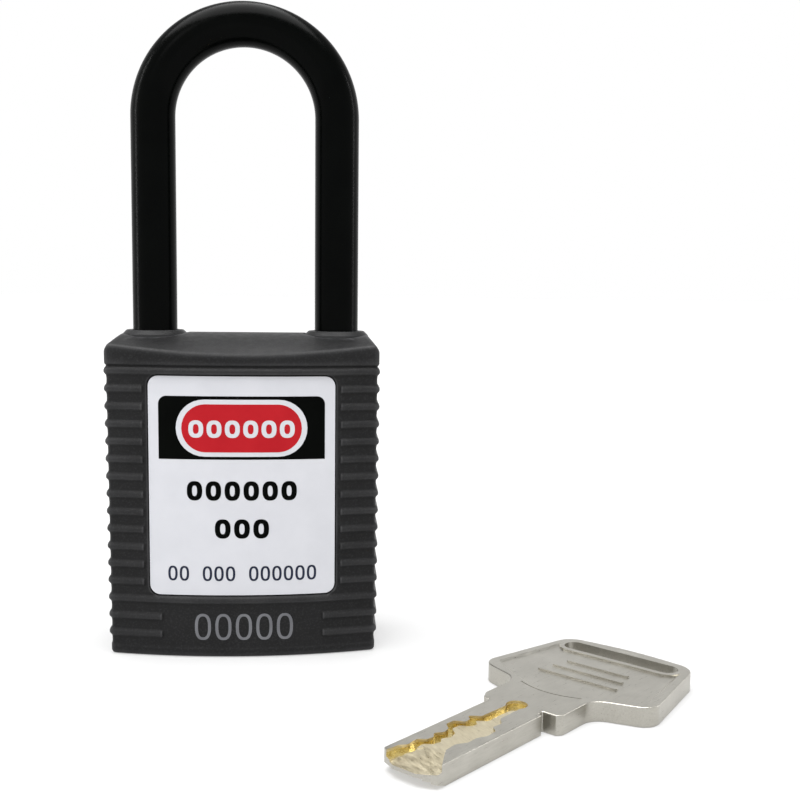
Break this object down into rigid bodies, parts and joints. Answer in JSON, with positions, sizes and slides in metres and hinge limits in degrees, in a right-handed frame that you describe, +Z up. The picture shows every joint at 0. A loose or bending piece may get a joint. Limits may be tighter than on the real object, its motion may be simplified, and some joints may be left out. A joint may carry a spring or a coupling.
{
  "type": "lockout padlock with key",
  "caption": "Safety lockout padlock with ribbed non-conductive body, slim coated shackle, blank hazard-style label and a loose track key.",
  "frame": {"origin": "on the surface that the lock and the key stand on, under the middle of the box that holds both", "axes": "+Z up along the shackle's legs, +X from the toe leg to the heel leg, -Y towards the viewer of the front label"},
  "size_m": [0.0778, 0.0612, 0.091],
  "materials": {
    "nylon_body": "moulded charcoal nylon, fine spark-eroded grain, satin on the domed top",
    "shackle_coat": "near-black moulded nylon shackle, satin to gloss",
    "label_sheet": "printed vinyl sheet: pale ground, black band and a red lozenge with plain blank bars",
    "brass": "turned brass, lightly drawn",
    "steel": "bright steel wire, balls, pin and screws",
    "zinc_alloy": "die-cast zinc alloy, matt grey",
    "nickel_key": "nickel-plated brass, brushed faces, brass showing in the milled track"
  },
  "bodies": {
    "lock_body": {"body_shell": "nylon_body", "front_label": "label_sheet", "back_label": "label_sheet", "bottom_cover": "nylon_body", "cover_screw_heel": "steel", "cover_screw_toe": "steel", "cylinder_housing": "brass", "ball_cage": "zinc_alloy", "heel_stop_pin": "steel", "shackle_spring": "steel"},
    "plug": {"cylinder_plug": "brass", "tail_cam": "zinc_alloy", "plug_clip": "steel", "wafer_1": "brass", "wafer_2": "brass", "wafer_3": "brass", "wafer_4": "brass", "wafer_5": "brass", "wafer_6": "brass", "wafer_spring_1": "steel", "wafer_spring_2": "steel", "wafer_spring_3": "steel", "wafer_spring_4": "steel", "wafer_spring_5": "steel", "wafer_spring_6": "steel"},
    "shackle": {"shackle": "shackle_coat"},
    "ball_heel": {"ball_heel": "steel"},
    "ball_toe": {"ball_toe": "steel"},
    "key": {"key": "nickel_key"}
  },
  "joints": [
    {"name": "plug_turn", "type": "hinge", "parent": "lock_body", "child": "plug", "pos_m": [-0.0199, 0.02071, 0.015], "axis": [0, 0, 1], "range_deg": [0, 90]},
    {"name": "shackle_lift", "type": "slide", "parent": "lock_body", "child": "shackle", "axis": [0, 0, 1], "range_m": [0, 0.0125], "deforming": ["shackle_spring"]},
    {"name": "ball_heel_slide", "type": "slide", "parent": "lock_body", "child": "ball_heel", "axis": [-1, 0, 0], "range_m": [0, 0.003]},
    {"name": "ball_toe_slide", "type": "slide", "parent": "lock_body", "child": "ball_toe", "axis": [1, 0, 0], "range_m": [0, 0.003]},
    {"name": "key_pick_up", "type": "slide", "parent": "lock_body", "child": "key", "axis": [0, 0, 1], "range_m": [0, 0.04]}
  ],
  "couplings": [
    {"joint": "shackle_lift", "follows": "plug_turn", "m_per_rad": 0.0079577},
    {"joint": "ball_heel_slide", "follows": "plug_turn", "m_per_rad": 0.0019098},
    {"joint": "ball_toe_slide", "follows": "plug_turn", "m_per_rad": 0.0019098}
  ]
}
